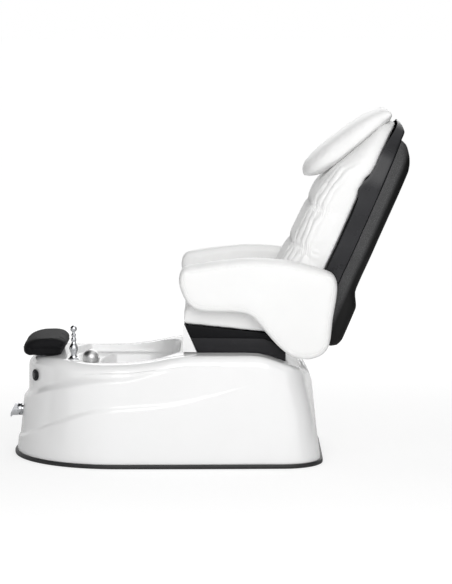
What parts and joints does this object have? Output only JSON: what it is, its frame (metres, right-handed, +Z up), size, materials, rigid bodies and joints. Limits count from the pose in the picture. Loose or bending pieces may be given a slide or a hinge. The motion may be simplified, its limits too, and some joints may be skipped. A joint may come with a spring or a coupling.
{
  "type": "pedicure spa chair",
  "caption": "Reclining massage seat with padded arms and pillow on a moulded foot-bath tub with a footrest pad, hand shower, spout, water jets and mixer.",
  "frame": {"origin": "on the floor, under the middle of the chair's length and width", "axes": "+Z up, -Y towards the nose of the foot bath, +Y towards the back, +X to the sitter's left"},
  "size_m": [0.796, 1.5938, 1.3897],
  "materials": {
    "white_gelcoat": "high-gloss white acrylic moulding",
    "trim_rubber": "satin black rubber",
    "painted_steel": "grey powder coat",
    "bright_steel": "ground and polished steel",
    "charcoal_cover": "charcoal moulding with a fine grain",
    "black_vinyl": "black leather-grain vinyl",
    "white_vinyl": "soft white upholstery vinyl",
    "gloss_black": "polished black moulding",
    "speckled_black": "textured black with fine grey speckle",
    "black_moulding": "satin black moulding",
    "chrome": "polished chrome plate",
    "inlet_brass": "turned brass",
    "pipe_plastic": "grey pipe plastic",
    "roller_plastic": "hard ivory-grey plastic"
  },
  "bodies": {
    "base": {"tub_shell": "white_gelcoat", "base_trim": "trim_rubber", "base_frame": "painted_steel", "levelling_feet": "trim_rubber", "deck_plate": "painted_steel", "hinge_brackets": "painted_steel", "hinge_shaft": "bright_steel", "base_cover": "charcoal_cover", "actuator_bracket": "painted_steel", "footrest_bracket": "painted_steel", "footrest_pad": "black_vinyl", "spout": "chrome", "shower_socket": "chrome", "button_bezel": "black_moulding", "mixer_body": "chrome", "basin_jets": "chrome", "jet_pipes": "pipe_plastic", "suction_cover": "chrome", "drain_fitting": "chrome", "waste_pipe": "pipe_plastic", "water_inlets": "inlet_brass", "pump_housing": "black_moulding", "pump_motor": "painted_steel", "control_box": "charcoal_cover"},
    "seat_unit": {"seat_frame": "painted_steel", "seat_pan": "black_moulding", "front_skirt": "white_gelcoat", "seat_cushion": "white_vinyl", "arm_brackets": "painted_steel", "arm_left": "white_vinyl", "arm_right": "white_vinyl", "back_frame": "painted_steel", "back_board": "charcoal_cover", "side_shell": "gloss_black", "rear_shell": "speckled_black", "back_cushion": "white_vinyl", "head_pillow": "white_vinyl", "guide_rods": "bright_steel", "massage_motor": "black_moulding"},
    "actuator_body": {"actuator_body": "black_moulding"},
    "actuator_rod": {"actuator_rod": "bright_steel"},
    "massage_carriage": {"massage_carriage": "charcoal_cover"},
    "rollers_upper": {"upper_rollers": "roller_plastic"},
    "rollers_lower": {"lower_rollers": "roller_plastic"},
    "lead_screw": {"lead_screw": "bright_steel"},
    "mixer_cap": {"mixer_cap": "chrome"},
    "mixer_lever": {"mixer_lever": "chrome"},
    "hand_shower": {"hand_shower": "chrome"},
    "air_button": {"air_button": "gloss_black"},
    "drain_plug": {"drain_plug": "chrome"},
    "pump_impeller": {"pump_impeller": "pipe_plastic"}
  },
  "joints": [
    {"name": "recline", "type": "hinge", "parent": "base", "child": "seat_unit", "pos_m": [0, 0.335, 0.44], "axis": [-1, 0, 0], "range_deg": [0, 10]},
    {"name": "actuator_swing", "type": "hinge", "parent": "base", "child": "actuator_body", "pos_m": [0, 0.1, 0.12], "axis": [-1, 0, 0], "range_deg": [0, 3.2]},
    {"name": "actuator_stroke", "type": "slide", "parent": "actuator_body", "child": "actuator_rod", "axis": [0, -0.194, 0.981], "range_m": [0, 0.055]},
    {"name": "massage_travel", "type": "slide", "parent": "seat_unit", "child": "massage_carriage", "axis": [0, 0.3987, 0.9171], "range_m": [0, 0.25]},
    {"name": "screw_spin", "type": "hinge", "parent": "seat_unit", "child": "lead_screw", "pos_m": [0, 0.4675, 0.548], "axis": [0, 0.3987, 0.9171], "continuous": true},
    {"name": "upper_roller_spin", "type": "hinge", "parent": "massage_carriage", "child": "rollers_upper", "pos_m": [0, 0.53315, 0.81937], "axis": [1, 0, 0], "continuous": true},
    {"name": "lower_roller_spin", "type": "hinge", "parent": "massage_carriage", "child": "rollers_lower", "pos_m": [0, 0.49726, 0.73684], "axis": [1, 0, 0], "continuous": true},
    {"name": "mixer_temperature", "type": "hinge", "parent": "base", "child": "mixer_cap", "pos_m": [0, -0.76, 0.172], "axis": [0, -1, 0], "range_deg": [-45, 45]},
    {"name": "mixer_flow", "type": "hinge", "parent": "mixer_cap", "child": "mixer_lever", "pos_m": [0, -0.7728, 0.184], "axis": [-1, 0, 0], "range_deg": [0, 22]},
    {"name": "shower_lift", "type": "slide", "parent": "base", "child": "hand_shower", "axis": [0, 0, 1], "range_m": [0, 0.15]},
    {"name": "button_press", "type": "slide", "parent": "base", "child": "air_button", "axis": [-0.4811, 0.8767, 0], "range_m": [0, 0.004], "stiffness_N_per_m": 600},
    {"name": "plug_lift", "type": "slide", "parent": "base", "child": "drain_plug", "axis": [0, 0, 1], "range_m": [0, 0.01]},
    {"name": "impeller_spin", "type": "hinge", "parent": "base", "child": "pump_impeller", "pos_m": [0.09, 0.18, 0.12], "axis": [0, 1, 0], "continuous": true}
  ],
  "couplings": [
    {"joint": "actuator_swing", "follows": "recline", "ratio": 0.286},
    {"joint": "actuator_stroke", "follows": "recline", "m_per_rad": 0.286}
  ]
}
